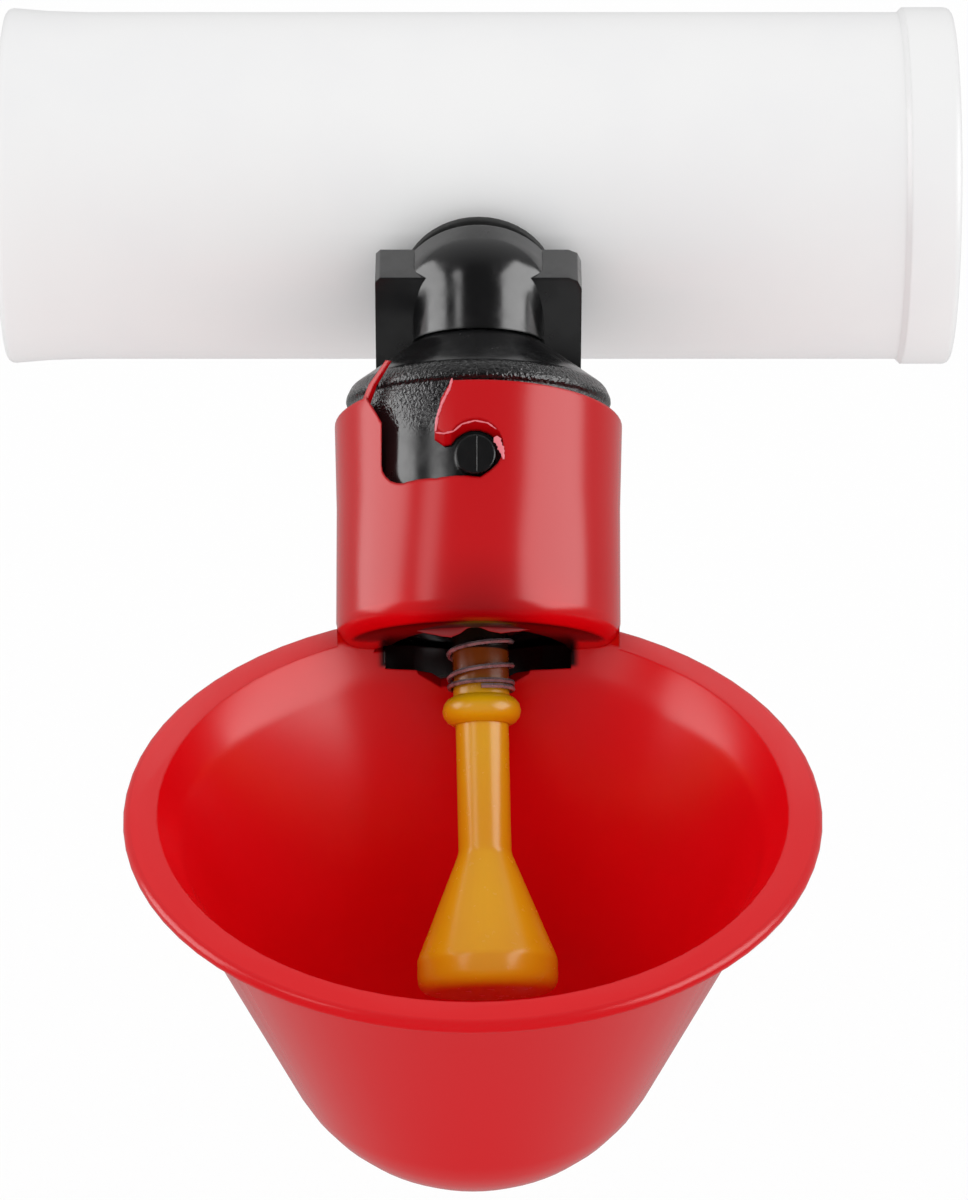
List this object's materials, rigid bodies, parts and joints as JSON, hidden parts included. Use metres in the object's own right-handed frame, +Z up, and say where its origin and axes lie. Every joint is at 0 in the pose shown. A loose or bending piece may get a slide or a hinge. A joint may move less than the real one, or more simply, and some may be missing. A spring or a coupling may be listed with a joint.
{
  "type": "poultry drinking cup",
  "caption": "Drinking cup for poultry that hangs by a bayonet neck on an elbow valve of a water pipe; pushing the sprung trigger in the bowl lets water in.",
  "frame": {"origin": "middle of the pipe's axis, on the plane through the valve's middle", "axes": "+X along the pipe's axis to the right as seen from the cup's side, -Y from the pipe towards the cup, +Z up"},
  "size_m": [0.105, 0.137, 0.0913],
  "materials": {
    "pipe_plastic": "white pipe plastic with a satin gloss",
    "seal_rubber": "matt black rubber",
    "valve_plastic": "black moulded plastic, glossy with a fine leathery grain on the dome",
    "spring_steel": "bare drawn steel",
    "trigger_plastic": "yellow moulded plastic, satin",
    "cup_plastic": "red moulded plastic, glossy"
  },
  "bodies": {
    "fixed_body": {"pipe": "pipe_plastic", "inlet_washer": "seal_rubber", "valve_body": "valve_plastic", "seat_seal": "seal_rubber", "seal_retainer": "valve_plastic", "cup": "cup_plastic"},
    "spring_body": {"return_spring": "spring_steel"},
    "trigger_body": {"trigger": "trigger_plastic", "valve_pin": "spring_steel"}
  },
  "joints": [
    {"name": "trigger_push", "type": "hinge", "parent": "fixed_body", "child": "spring_body", "pos_m": [0, -0.0464, -0.0198], "axis": [1, 0, 0], "range_deg": [-7, 5], "stiffness_Nm_per_rad": 0.15, "deforming": ["return_spring"]},
    {"name": "trigger_sway", "type": "hinge", "parent": "spring_body", "child": "trigger_body", "pos_m": [0, -0.0464, -0.0198], "axis": [0, -0.7071, 0.7071], "range_deg": [-8.3, 5.7], "stiffness_Nm_per_rad": 0.15}
  ]
}
